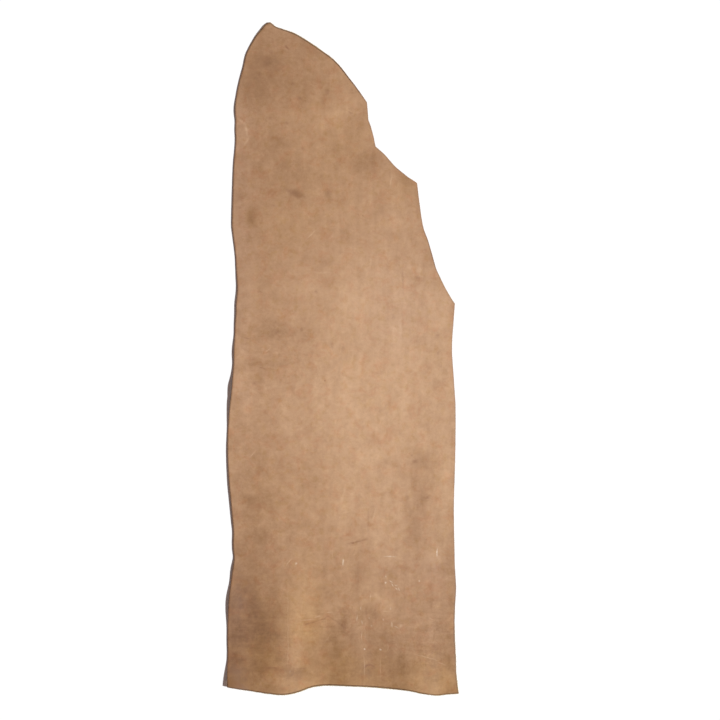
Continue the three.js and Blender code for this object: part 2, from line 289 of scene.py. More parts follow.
# Marks in the grain too sharp for the sheet's cells. The material draws them, from 0 to about 1.
DARK_MARKS = table(
    (122, 1317, 8, 20, 0.75, 42), (89, 1308, 14, 14, 0.3), (80, 1292, 30, 24, 0.2), (67, 1263, 12, 16, 0.5),
    (133, 1244, 9, 12, 0.3), (203, 1227, 14, 18, 0.4), (148, 1215, 14, 16, 0.45),
    (250, 1185, 6, 16, 0.45, 70), (87, 1175, 12, 12, 0.35), (122, 1164, 10, 12, 0.35),
    (154, 1113, 10, 14, 0.35), (129, 1026, 18, 28, 0.25, 66), (138, 1021, 24, 56, 0.36, 64),
    (208, 1021, 16, 16, 0.4), (30, 1013, 18, 12, 0.25, 10), (94, 996, 9, 24, 0.28, 76),
    (26, 992, 8, 22, 0.28, 80), (266, 977, 4, 9, 0.55, 30), (276, 975, 4, 9, 0.55, 30),
    (51, 974, 25, 42, 0.38), (386, 849, 18, 16, 0.3), (358, 843, 8, 70, 0.3, 2), (67, 821, 6, 16, 0.45, 80),
    (181, 821, 12, 14, 0.4), (337, 770, 15, 20, 0.25), (152, 744, 12, 12, 0.4), (102, 740, 14, 16, 0.45),
    (427, 734, 16, 20, 0.3), (41, 727, 4, 26, 0.4, 88), (213, 713, 12, 24, 0.28), (236, 707, 12, 24, 0.28),
    (429, 697, 10, 12, 0.4), (71, 667, 6, 18, 0.4, 78), (199, 640, 6, 8, 0.8), (57, 636, 12, 22, 0.45, 86),
    (376, 488, 8, 8, 0.3), (382, 477, 18, 12, 0.42, 10), (325, 475, 18, 20, 0.12), (366, 404, 15, 22, 0.3),
    (408, 404, 18, 22, 0.32), (400, 402, 36, 18, 0.22), (283, 173, 8, 34, 0.38),
    (301, 172, 8, 30, 0.38, -5), (61, 171, 30, 26, 0.3), (330, 148, 6, 22, 0.25, -12),
    (93, 148, 20, 16, 0.25), (87, 59, 8, 40, 0.45, 86), (98, 59, 4, 32, 0.35, 90),
    (152, 57, 4, 42, 0.35, 90),
)
# Growth wrinkles, drawn as dark lines: painted shade in their creases.
WRINKLE_SHADE = table(
    (287, 355, 7, 70, 0.42), (279, 318, 7, 20, 0.35, -70), (262, 313, 7, 54, 0.55, -78),
    (260, 312, 16, 68, 0.4, -78), (256, 311.5, 6, 9, 0.6, -78), (266, 251, 12, 116, 0.22, 1),
    (231, 171, 4, 50, 0.35, -92), (186, 168, 4, 60, 0.35, -88), (197, 158, 5.5, 38, 0.75, -66),
    (214, 158, 5, 30, 0.55, -122), (193, 151, 5, 32, 0.6, -80), (171, 149, 6, 46, 0.95, -74),
    (231, 146, 9, 36, 0.9, -128), (239, 144, 15, 44, 0.8, -4), (206, 141, 4, 44, 0.35, -84),
    (207, 112, 8, 26, 0.6, -75), (288, 64, 7, 20, 1.2, -88), (296, 62, 7, 18, 1.1, -122),
    (281, 61, 7, 18, 1.2, -50),
)
PALE_LINES = table(
    (29, 1168, 8, 32, 0.45, 54), (39, 1150, 9, 36, 0.42, 12), (40, 1126, 9, 30, 0.38, -25),
    (333, 1046, 6, 44, 0.35, -8), (171, 937, 5, 44, 0.42, -47), (213, 933, 6, 20, 0.25, -45),
    (293, 888, 9, 64, 0.28, -10), (391, 866, 14, 18, 0.35, -60), (192, 860, 6, 60, 0.25, 90),
    (352, 748, 12, 110, 0.4), (83, 703, 4, 24, 0.4, -45), (100, 628, 11, 260, 0.14, -81),
    (35, 586, 12, 12, 0.2), (51, 490, 4, 20, 0.4, -45), (236, 406, 9, 90, 0.25, -14),
    (298, 366, 5, 46, 0.35, -13), (228, 362, 4, 20, 0.4, -30), (215, 290, 4, 40, 0.2),
    (430, 279, 14, 28, 0.3, 24), (126, 273, 4, 26, 0.45, -40), (291, 203, 4, 20, 0.6),
    (322, 172, 4, 22, 0.45, -84), (207, 170, 4, 18, 0.4, -84), (184, 162, 4, 20, 0.5, -78),
    (414, 158, 5, 16, 0.4, 60), (165, 155, 3.5, 46, 0.35, -86), (124, 144, 3, 280, 0.2),
    (352, 143, 12, 14, 0.4, 30), (281, 138, 3, 70, 0.22), (176, 130, 3.5, 40, 0.15, -58),
    (274, 122, 3, 30, 0.5), (205, 118, 3.5, 44, 0.15, -35), (327, 100, 3, 22, 0.35), (125, 96, 3, 50, 0.12),
    (404, 80, 3.5, 76, 0.3, 74), (436, 66, 3.5, 30, 0.25, 68), (279, 62, 3, 70, 0.3, 1),
    (312, 56, 3, 60, 0.25),
)
FLECKS = table(
    (427, 292, 4.5, 24, 0.8), (331, 284, 3.5, 38, 0.5, 90), (236, 272, 5, 17, 0.85), (141, 270, 6, 8, 0.7),
    (322, 243, 4, 7, 0.45), (390, 234, 5, 6, 0.5), (333, 233, 4, 14, 0.5, 62), (322, 231, 5, 7, 0.6, 20),
    (337, 226, 4, 12, 0.5, 35), (344, 226, 4, 12, 0.4, 70), (344, 219, 4, 12, 0.45, 40),
    (350, 217, 4, 12, 0.4, 15), (272, 179, 5, 8, 0.45), (332, 179, 4, 7, 0.4), (289, 159, 4, 5, 0.3),
    (264, 158, 4, 18, 0.25, -8), (318, 156, 4, 8, 0.3, 30), (274, 150, 4, 16, 0.25, 6),
    (335, 146, 4, 16, 0.4, 10), (294, 143, 4, 5, 0.25), (345, 140, 4, 18, 0.3, 60), (280, 97, 5, 6, 0.7),
    (312, 95, 6, 5, 0.6), (129, 50, 4, 8, 0.15),
)


# ---------------------------------------------------------------------------------------------------------
# Helpers
# ---------------------------------------------------------------------------------------------------------
def colour(code):
    """An sRGB hex colour as the linear colour that a node takes."""
    channels = [int(code[i : i + 2], 16) / 255 for i in (1, 3, 5)]
    linear = [c / 12.92 if c <= 0.04045 else ((c + 0.055) / 1.055) ** 2.4 for c in channels]
    return (*linear, 1.0)


def add(tree, kind, inputs=(), out=0, stops=(), **settings):
    """
    One node of a tree, with its settings, and the stops of its colour ramp. Its inputs, in order or by name,
    are set to values or linked to sockets. It gives back one of its outputs, or with out=None the node.
    """
    node = tree.nodes.new(kind)
    for name, value in settings.items():
        setattr(node, name, value)
    given = inputs.items() if isinstance(inputs, dict) else enumerate(inputs)
    for key, value in given:
        if isinstance(value, bpy.types.NodeSocket):
            tree.links.new(value, node.inputs[key])
        else:
            node.inputs[key].default_value = value
    while stops and len(node.color_ramp.elements) < len(stops):
        node.color_ramp.elements.new(0.5)
    for i, (place, code) in enumerate(stops):
        node.color_ramp.elements[i].position = place
        node.color_ramp.elements[i].color = colour(code)
    return node if out is None else node.outputs[out]


def put_in_scene(name, data):
    """A piece, lamp or camera of the scene."""
    piece = bpy.data.objects.new(name, data)
    bpy.context.scene.collection.objects.link(piece)
    return piece


# ---------------------------------------------------------------------------------------------------------
# The sheet
# ---------------------------------------------------------------------------------------------------------
def knife_run(points):
    """One run of the knife: a centripetal Catmull-Rom curve through its points."""
    p = np.array(points, float)
    p = np.vstack([2 * p[0] - p[1], p, 2 * p[-1] - p[-2]])
    knots = np.sqrt(np.linalg.norm(np.diff(p, axis=0), axis=1))
    share = np.linspace(0, 1, RUN_STEPS, endpoint=False)[:, None]
    pieces = []
    for i in range(1, len(p) - 2):
        (a, b, c, d), (before, here, after) = p[i - 1 : i + 3], knots[i - 1 : i + 2]
        leave = ((b - a) / before - (c - a) / (before + here) + (c - b) / here) * here
        arrive = ((c - b) / here - (d - b) / (here + after) + (d - c) / after) * here
        squared = 3 * (c - b) - 2 * leave - arrive
        cubed = 2 * (b - c) + leave + arrive
        pieces.append(b + leave * share + squared * share**2 + cubed * share**3)
    return np.vstack(pieces + [p[-2:-1]])


class Side:
    """A side of the sheet: its points, how far along it each one is, and how far along its corners are."""

    def __init__(self, runs):
        runs = [knife_run(run) for run in runs]
        self.points = np.vstack([runs[0]] + [run[1:] for run in runs[1:]])
        self.far = np.concatenate([[0], np.cumsum(np.linalg.norm(np.diff(self.points, axis=0), axis=1))])
        ends = np.cumsum([len(run) - 1 for run in runs])
        self.corners = self.far[[0, *ends]]
        self.length = self.far[-1]

    def at(self, shares):
        """The points at these shares of the side's length."""
        far = np.asarray(shares) * self.length
        return np.stack([np.interp(far, self.far, self.points[:, axis]) for axis in (0, 1)], axis=-1)


foot, tip, left, right = Side(FOOT), Side(TIP), Side(LEFT), Side(RIGHT)


def place_of_datum():
    """Where the datum of the tables lies in the frame, in millimetres: the outline fills the hide's box."""
    outline = np.vstack([side.points for side in (foot, left, right, tip)])
    middle = (outline.min(axis=0) + outline.max(axis=0)) / 2
    centre = [(low + high) / 2 / MM for low, high in zip(HIDE_LOW, HIDE_HIGH)]
    return np.array([centre[0] - middle[0], centre[1] - middle[1], HIDE_LOW.z / MM])


DATUM = place_of_datum()


def stations(*facing):
    """
    Places on two sides that face each other, in pairs about a cell apart, closer beside the two ends, with a
    pair at every corner. A place is a share of its side's length.
    """
    corners = np.stack([side.corners for side in facing], axis=1)
    rim = np.array(RIM_STEPS)[:, None]
    marks = [corners[:1], corners[:1] + rim]
    for start, end in zip(corners[:-1], corners[1:]):
        near = marks[-1][-1] if start[0] == 0 else start
        last = end - RIM_STEPS[-1] if end[0] == facing[0].length else end
        cells = max(1, round((last - near).mean() / CELL))
        marks.append(np.linspace(near, last, cells + 1)[1:])
    marks += [corners[-1] - rim[-2::-1], corners[-1:]]
    return np.vstack(marks) / [side.length for side in facing]


def plan_grid():
    """The plan of the sheet as rows of points: a Coons patch between its four sides."""
    across, along = stations(foot, tip), stations(left, right)
    u, v = across.mean(axis=1)[None, :, None], along.mean(axis=1)[:, None, None]
    lengthways = (1 - v) * foot.at(across[:, 0])[None] + v * tip.at(across[:, 1])[None]
    crossways = (1 - u) * left.at(along[:, 0])[:, None] + u * right.at(along[:, 1])[:, None]
    corners = (1 - v) * ((1 - u) * foot.at(0) + u * foot.at(1)) + v * ((1 - u) * tip.at(0) + u * tip.at(1))
    return lengthways + crossways - corners


def swells(rows, plan):
    """The sum of a table of swells at each point of the plan."""
    total = np.zeros(plan.shape[:-1])
    for swell in rows:
        turn = math.radians(swell.turn)
        x, y = plan[..., 0] - swell.x, plan[..., 1] - swell.y
        beside = (x * math.cos(turn) + y * math.sin(turn)) / (swell.width / 2)
        along = (y * math.cos(turn) - x * math.sin(turn)) / (swell.length / 2)
        total += swell.amount * np.clip(1 - beside**2 - along**2, 0, None) ** 2
    return total


def unevenness(plan, size, seed, octaves=2):
    """Smooth unevenness of about -1 to 1 over the plan, with bumps about size millimetres across."""
    flat = plan.reshape(-1, 2) / size
    values = [noise.fractal((x, y, seed), 1.0, 2.0, octaves) for x, y in flat]
    return np.array(values).reshape(plan.shape[:-1])


def lift(plan):
    """How far the leather stands off the table. Below zero only its grain side sinks."""
    cockle = COCKLE_RISE + sum(height * unevenness(plan, size, seed) for height, size, seed in COCKLE)
    return swells(WAVES, plan) + swells(CREASES, plan) + cockle


def outward(loop):
    """The direction out of the sheet at each point of a closed loop that runs round it anticlockwise."""
    along = np.roll(loop, -1, axis=0) - np.roll(loop, 1, axis=0)
    out = np.stack([along[:, 1], -along[:, 0]], axis=1)
    return out / np.linalg.norm(out, axis=1)[:, None]


def around(rows, columns):
    """The places of a grid's border in the list of its points, anticlockwise from the first."""
    grid = np.arange(rows * columns).reshape(rows, columns)
    return np.concatenate([grid[0, :-1], grid[:-1, -1], grid[-1, :0:-1], grid[:0:-1, 0]])


def nearest_on(rim, points):
    """For each point, the place in its list of the rim's nearest point, and how far away the rim is."""
    ahead = np.roll(rim, -1, axis=0) - rim
    shares = np.arange(RIM_SPLIT) / RIM_SPLIT
    dense = np.stack([rim + ahead * share for share in shares], axis=1).reshape(-1, 2)
    tree = KDTree(len(dense))
    for i, point in enumerate(dense):
        tree.insert((*point, 0), i)
    tree.balance()
    found = [tree.find((*point, 0))[1:] for point in points]
    return np.array([place for place, _ in found]) // RIM_SPLIT, np.array([off for _, off in found])


def sheet_points(plan, border, nearest, inset, torn):
    """The points of the grain side, of the loops down the cut edge and of the flesh side, from the datum."""
    flat = plan.reshape(-1, 2)
    rim = flat[border]
    out = outward(rim)

    # The grain side is drawn in where the knife leaned, and rolls over at the cut.
    lean = swells(LEAN, flat) * np.clip(1 - inset / RIM_STEPS[-1], 0, 1)
    grain_side = flat - out[nearest] * lean[:, None]
    height = lift(plan).reshape(-1)
    under = np.clip(height, 0, None)
    over = np.clip(height, -SINK, None) + THICKNESS
    over += RIPPLE * unevenness(plan, RIPPLE_SIZE, 5.3, 1).reshape(-1)
    over -= ROLL * np.exp(-((inset / ROLL_REACH) ** 2))
    layers = [np.column_stack([grain_side, over])]

    ragged = unevenness(rim, RAGGED_SIZE, 1.7, 3)
    for out_by, share, leaning in CUT:
        reach = out_by * (UPRIGHT + (1 - UPRIGHT) * torn[border]) * (1 + RAGGED_REACH * ragged)
        step = reach - leaning * (1 + RAGGED_LEAN * ragged) * lean[border]
        layers.append(np.column_stack([rim + out * step[:, None], under[border] + THICKNESS * share]))
    layers.append(np.column_stack([flat, under]))
    return np.vstack(layers)


def sheet_faces(rows, columns, border):
    """The faces of the grain side, of the cut edge and of the flesh side, over those points."""
    grid = np.arange(rows * columns).reshape(rows, columns)
    squares = np.stack([grid[:-1, :-1], grid[:-1, 1:], grid[1:, 1:], grid[1:, :-1]], axis=-1).reshape(-1, 4)
    below = grid.size + len(CUT) * len(border)
    loops = [grid.size + i * len(border) + np.arange(len(border)) for i in range(len(CUT))]
    walls = []
    for upper, lower in zip([border, *loops], [*loops, below + border]):
        walls.append(np.stack([upper, lower, np.roll(lower, -1), np.roll(upper, -1)], axis=-1))
    return squares, np.vstack(walls), below + squares[:, ::-1]


def hide_mesh():
    """The sheet as a closed mesh with a material for each side, and the values that the materials read."""
    plan = plan_grid()
    rows, columns = plan.shape[:2]
    border = around(rows, columns)
    flat = plan.reshape(-1, 2)
    nearest, inset = nearest_on(flat[border], flat)
    torn = np.clip(swells(LEAN, flat), 0, 1)
    points = sheet_points(plan, border, nearest, inset, torn)
    faces = sheet_faces(rows, columns, border)

    mesh = bpy.data.meshes.new("hide_leather")
    mesh.from_pydata((points + DATUM) * MM, [], np.vstack(faces).tolist())
    finish_of = np.repeat([0, 1, 2], [len(side) for side in faces])
    mesh.polygons.foreach_set("material_index", finish_of)
    mesh.polygons.foreach_set("use_smooth", np.ones(len(finish_of), bool))

    # The tone of the tan with its painted light and shade, how yellow its liquor left it, how far it is
    # rubbed, how dark it has worn beside the cut, with painted shade along the left side, how torn the cut
    # is, the distance in from there and the depth below the grain side, as a share of the thickness.
    drift = np.stack([unevenness(plan, DRIFT_SIZE, seed, 3) for seed in (11.0, 23.0)], axis=-1)
    both_sides = {
        "tone": swells(STAINS_AND_PAINTED_LIGHT, plan + DRIFT * drift),
        "liquor": swells(LIQUOR, plan + DRIFT * drift),
        "rubbed": swells(RUBBED, plan),
        "wear_and_shade": WORN_ALL_ROUND + swells(WORN_AND_SHADED_EDGE, plan),
        "torn": torn,
        "inset": inset,
    }
    values = {}
    for name, side in both_sides.items():
        side = side.reshape(-1)
        values[name] = [side, np.tile(side[border], len(CUT)), side]
    depth = np.repeat([1 - share for _, share, _ in CUT], len(border))
    values["depth"] = [np.zeros(len(flat)), depth, np.ones(len(flat))]
    for name, parts in values.items():
        layer = mesh.attributes.new(name, "FLOAT", "POINT")
        layer.data.foreach_set("value", np.concatenate(parts).astype(np.float32))
    mesh.validate()
    return mesh


hide = put_in_scene("leather_hide", hide_mesh())


# ---------------------------------------------------------------------------------------------------------
# The finishes
# ---------------------------------------------------------------------------------------------------------
SMOOTH = {"interpolation_type": "SMOOTHSTEP", "clamp": False}  # for a value spread over another range
COLOURS = {"data_type": "RGBA", "out": 2}  # for a mix of colours, which are its inputs 6 and 7
LEATHER_IOR = 1.45
PLAIN_TONE = 0.443  # where leather without a stain lies among the tans
PLAIN_YELLOW, YELLOWING = 0.227, 0.31  # how yellow it is there, and how much more where the liquor is 1


def per(size):
    """The scale of a pattern that repeats about every size millimetres, on coordinates in metres."""
    return 1 / (size * MM)


def clouds(place, size, detail, roughness, distortion=0.0):
    """What makes a noise run from 0 to 1 in patches about size millimetres across."""
    look = {"Detail": detail, "Roughness": roughness, "Distortion": distortion}
    return {"Vector": place, "Scale": per(size), **look}


def finish(name):
    """An empty material and its tree."""
    material = bpy.data.materials.new(name)
    material.use_nodes = True
    material.node_tree.nodes.clear()
    return material, material.node_tree


def leathery(material, inputs):
    """The material, with a shader whose inputs are set or linked."""
    tree = material.node_tree
    shader = add(tree, "ShaderNodeBsdfPrincipled", {**inputs, "IOR": LEATHER_IOR})
    add(tree, "ShaderNodeOutputMaterial", {"Surface": shader}, out=None)
    return material


def drawn(tree, place, marks, strength):
    """The sum of a table of swells, drawn in the material."""
    total = 0.0
    for swell in marks:
        inputs = {
            "Vector": place,
            "Location": ((DATUM[0] + swell.x) * MM, (DATUM[1] + swell.y) * MM, 0),
            "Rotation": (0, 0, math.radians(swell.turn)),
            "Scale": (swell.width / 2 * MM, swell.length / 2 * MM, 1),
        }
        local = add(tree, "ShaderNodeMapping", inputs, vector_type="TEXTURE")
        near = add(tree, "ShaderNodeTexGradient", {"Vector": local}, out="Fac", gradient_type="SPHERICAL")
        mark = add(tree, "ShaderNodeMapRange", (near, 0, 1, 0, strength * swell.amount), **SMOOTH)
        total = add(tree, "ShaderNodeMath", (mark, total), operation="ADD")
    return total


def grain_leather():
    """Vegetable-tanned cattle grain, left undyed: a matte to satin tan that has clouded in the tanning, with
    painted light and shade in its tone.
    """
    material, tree = finish("vegetable_tanned_grain")
    place = add(tree, "ShaderNodeTexCoord", out="Object")
    tone, liquor, rubbed, wear_and_shade, inset = (
        add(tree, "ShaderNodeAttribute", out="Fac", attribute_name=name)
        for name in ("tone", "liquor", "rubbed", "wear_and_shade", "inset")
    )

    # The widest clouds of the tan, with the painted light and shade, come with the mesh, and these are
    # finer, down to single grains of colour.
    # The lower half is more mottled, the right side more combed, and rubbed grain more smeared and speckled.
    lengthways = add(tree, "ShaderNodeMapping", {"Vector": place, "Scale": (1, 0.13, 1)})
    crossways = add(tree, "ShaderNodeMapping", {"Vector": place, "Scale": (0.13, 1, 1)})
    wide = add(tree, "ShaderNodeTexNoise", clouds(place, 80, 3, 0.6, 0.4))
    mottle = add(tree, "ShaderNodeTexNoise", clouds(place, 22, 4, 0.66, 0.3))
    speckle = add(tree, "ShaderNodeTexNoise", clouds(place, 5.5, 4, 0.8))
    comb = add(tree, "ShaderNodeTexNoise", clouds(lengthways, 12, 3, 0.55, 0.15))
    smear = add(tree, "ShaderNodeTexNoise", clouds(crossways, 7, 3, 0.6, 0.2))
    spot = add(tree, "ShaderNodeSeparateXYZ", {"Vector": place}, out=None).outputs
    mottled = add(tree, "ShaderNodeMapRange", (spot["Y"], -50 * MM, 150 * MM, 0.43, 0.33), **SMOOTH)
    speckled = add(tree, "ShaderNodeMath", (rubbed, 0.16, 0.24), operation="MULTIPLY_ADD")
    combed = add(tree, "ShaderNodeMapRange", (spot["X"], -150 * MM, 100 * MM, 0.08, 0.20), **SMOOTH)
    smeared = add(tree, "ShaderNodeMath", (rubbed, 0.3, 0.05), operation="MULTIPLY_ADD")
    layers = ((wide, 0.17), (mottle, mottled), (speckle, speckled), (comb, combed), (smear, smeared))
    tone = add(tree, "ShaderNodeMath", (tone, PLAIN_TONE), operation="ADD")
    for cloud, strength in layers:
        cloud = add(tree, "ShaderNodeMath", (cloud, 0.5), operation="SUBTRACT")
        tone = add(tree, "ShaderNodeMath", (cloud, strength, tone), operation="MULTIPLY_ADD")
    tans = [(0.0, "#78543A"), (0.25, "#967052"), (0.5, "#B28B6D"), (0.75, "#C9A283"), (1.0, "#DBB698")]
    base = add(tree, "ShaderNodeValToRGB", {"Fac": tone}, stops=tans)

    # Rosy where the oils lie deep, olive where they dried out, and yellow as the bark liquor left it.
    rosy = add(tree, "ShaderNodeTexNoise", clouds(place, 26, 5, 0.72, 0.5))
    rosy = add(tree, "ShaderNodeMapRange", (rosy, 0.46, 0.74, 0, 0.62), **SMOOTH)
    olive = add(tree, "ShaderNodeTexNoise", clouds(place, 15, 5, 0.72))
    olive = add(tree, "ShaderNodeMapRange", (olive, 0.46, 0.74, 0, 0.62), **SMOOTH)
    yellow = add(tree, "ShaderNodeMath", (liquor, YELLOWING, PLAIN_YELLOW), operation="MULTIPLY_ADD")
    for amount, code in ((rosy, "#F8E0D2"), (olive, "#F0EACB"), (yellow, "#FFF8C8")):
        layers = {0: amount, 6: base, 7: colour(code)}
        base = add(tree, "ShaderNodeMix", layers, blend_type="MULTIPLY", **COLOURS)

    # Marks, broken here and there, whose outlines waver by about a millimetre.
    waver = add(tree, "ShaderNodeTexNoise", clouds(place, 13, 2, 0.5), out="Color")
    waver = add(tree, "ShaderNodeVectorMath", (waver, (0.5, 0.5, 0.5)), operation="SUBTRACT")
    sway = (5 * MM, 5 * MM, 0)
    wavering = add(tree, "ShaderNodeVectorMath", (waver, sway, place), operation="MULTIPLY_ADD")
    broken = add(tree, "ShaderNodeTexNoise", clouds(place, 5, 3, 0.7))
    broken = add(tree, "ShaderNodeMapRange", (broken, 0.3, 0.6, 0.35, 1.0), **SMOOTH)
    for marks, strength, code in (
        (DARK_MARKS, 1.0, "#7C5137"),
        # the wrinkles' dark lines are painted shade in their creases
        (WRINKLE_SHADE, 0.6, "#7A5033"),
        (PALE_LINES, 1.0, "#D6B190"),
        (FLECKS, 1.0, "#EDD9C0"),
    ):
        amount = drawn(tree, wavering, marks, strength)
        amount = add(tree, "ShaderNodeMath", (amount, broken), operation="MULTIPLY")
        base = add(tree, "ShaderNodeMix", {0: amount, 6: base, 7: colour(code)}, **COLOURS)

    # The knife and the air darken it most in the first millimetre from the cut, and no more after three.
    # Along the left side this darkening is partly painted shade.
    edge = add(tree, "ShaderNodeMath", (mottle, 0.5), operation="SUBTRACT")
    edge = add(tree, "ShaderNodeMath", (edge, 1.6, inset), operation="MULTIPLY_ADD")
    edge = add(tree, "ShaderNodeMapRange", (edge, 0.9, 3.1, 1, 0), **SMOOTH)
    edge = add(tree, "ShaderNodeMath", (edge, wear_and_shade), operation="MULTIPLY")
    base = add(tree, "ShaderNodeMix", {0: edge, 6: base, 7: colour("#52361F")}, **COLOURS)

    # Hair cells and fine growth wrinkles. Real pores are 0.2 mm across; these are 1.2 mm, so that they show.
    # Each is a small dimple, with painted shade darkening its mouth.
    cells = {"Vector": place, "Scale": per(1.2), "Randomness": 1.0}
    pores = add(tree, "ShaderNodeTexVoronoi", cells, out="Distance")
    pores = add(tree, "ShaderNodeMapRange", (pores, 0.08, 0.42, 0, 1), **SMOOTH)
    shaded_mouths = add(tree, "ShaderNodeMapRange", (pores, 0, 1, 0.13, 0), **SMOOTH)
    base = add(tree, "ShaderNodeMix", {0: shaded_mouths, 6: base, 7: colour("#6E4A33")}, **COLOURS)
    wider = add(tree, "ShaderNodeMapping", {"Vector": place, "Scale": (0.5, 1, 1)})
    growth = add(tree, "ShaderNodeTexNoise", clouds(wider, 5, 5, 0.7, 0.8))
    dimples = add(tree, "ShaderNodeMath", (pores, 0.1), operation="MULTIPLY")
    relief = add(tree, "ShaderNodeMath", (growth, 0.7, dimples), operation="MULTIPLY_ADD")
    bump = add(tree, "ShaderNodeBump", {"Height": relief, "Strength": 0.5, "Distance": 0.6 * MM})
    matte = add(tree, "ShaderNodeMapRange", (mottle, 0.3, 0.7, 0.54, 0.66), **SMOOTH)
    return leathery(material, {"Base Color": base, "Normal": bump, "Roughness": matte})


def cut_edge():
    """The knife's cut: dark and close under the grain, paler below, and straw-coloured where it is torn."""
    material, tree = finish("cut_leather_edge")
    place = add(tree, "ShaderNodeTexCoord", out="Object")
    depth, torn = (
        add(tree, "ShaderNodeAttribute", out="Fac", attribute_name=name) for name in ("depth", "torn")
    )
    thin = add(tree, "ShaderNodeMapping", {"Vector": place, "Scale": (1, 1, 6)})
    layers = add(tree, "ShaderNodeTexNoise", clouds(thin, 3, 4, 0.7))
    flat = add(tree, "ShaderNodeMapping", {"Vector": place, "Scale": (1, 1, 3)})
    fibres = add(tree, "ShaderNodeTexNoise", clouds(flat, 0.9, 3, 0.7))
    uneven = add(tree, "ShaderNodeMath", (layers, 0.5), operation="SUBTRACT")
    depth = add(tree, "ShaderNodeMath", (uneven, 0.6, depth), operation="MULTIPLY_ADD")
    straw_below = [(0.0, "#452C1A"), (0.3, "#63452B"), (0.55, "#A08050"), (1.0, "#D0B878")]
    brown_below = [(0.0, "#52352B"), (0.4, "#724E42"), (1.0, "#9A7364")]
    torn_cut = add(tree, "ShaderNodeValToRGB", {"Fac": depth}, stops=straw_below)
    clean_cut = add(tree, "ShaderNodeValToRGB", {"Fac": depth}, stops=brown_below)
    base = add(tree, "ShaderNodeMix", {0: torn, 6: clean_cut, 7: torn_cut}, **COLOURS)
    relief = add(tree, "ShaderNodeMath", (fibres, 0.6, layers), operation="MULTIPLY_ADD")
    bump = add(tree, "ShaderNodeBump", {"Height": relief, "Strength": 0.9, "Distance": 0.4 * MM})
    return leathery(material, {"Base Color": base, "Normal": bump, "Roughness": 0.85})


def flesh_side():
    """The split flesh side: a short suede nap, paler than the grain and without gloss."""
    material, tree = finish("suede_flesh_side")
    place = add(tree, "ShaderNodeTexCoord", out="Object")
    patches = add(tree, "ShaderNodeTexNoise", clouds(place, 60, 4, 0.6, 0.6))
    lengthways = add(tree, "ShaderNodeMapping", {"Vector": place, "Scale": (1, 0.4, 1)})
    nap = add(tree, "ShaderNodeTexNoise", clouds(lengthways, 2.2, 4, 0.75))
    patches = add(tree, "ShaderNodeMath", (patches, 0.65), operation="MULTIPLY")
    tone = add(tree, "ShaderNodeMath", (nap, 0.35, patches), operation="MULTIPLY_ADD")
    suedes = [(0.25, "#A98662"), (0.5, "#BF9D78"), (0.75, "#D2B590")]
    base = add(tree, "ShaderNodeValToRGB", {"Fac": tone}, stops=suedes)
    bump = add(tree, "ShaderNodeBump", {"Height": nap, "Strength": 0.8, "Distance": 0.6 * MM})
    return leathery(material, {"Base Color": base, "Normal": bump, "Roughness": 0.95, "Sheen Weight": 0.25})


def loose_fibres():
    """Loose collagen fibres at the cut: undyed, straw-coloured and without gloss."""
    material, tree = finish("straw_leather_fibres")
    place = add(tree, "ShaderNodeTexCoord", out="Object")
    bundle = add(tree, "ShaderNodeTexNoise", clouds(place, 1.5, 2, 0.6))
    straws = [(0.3, "#9A7C4C"), (0.5, "#BE9F64"), (0.7, "#DAC58E")]
    base = add(tree, "ShaderNodeValToRGB", {"Fac": bundle}, stops=straws)
    return leathery(material, {"Base Color": base, "Roughness": 0.9})


grain, cut, flesh, straw = grain_leather(), cut_edge(), flesh_side(), loose_fibres()
for leather in (grain, cut, flesh):
    hide.data.materials.append(leather)


# ---------------------------------------------------------------------------------------------------------
# The fibres that the knife pulled out of the cut
# ---------------------------------------------------------------------------------------------------------
FIBRES = {
    "Per Square Metre": 4e6,
    "Length": 1.7 * MM,
    "Thickness": 0.05,  # the radius, as a share of the length; real ones are finer and wouldn't show
    "Floor": HIDE_LOW.z + 0.02 * MM,
    "Seed": 4,
}


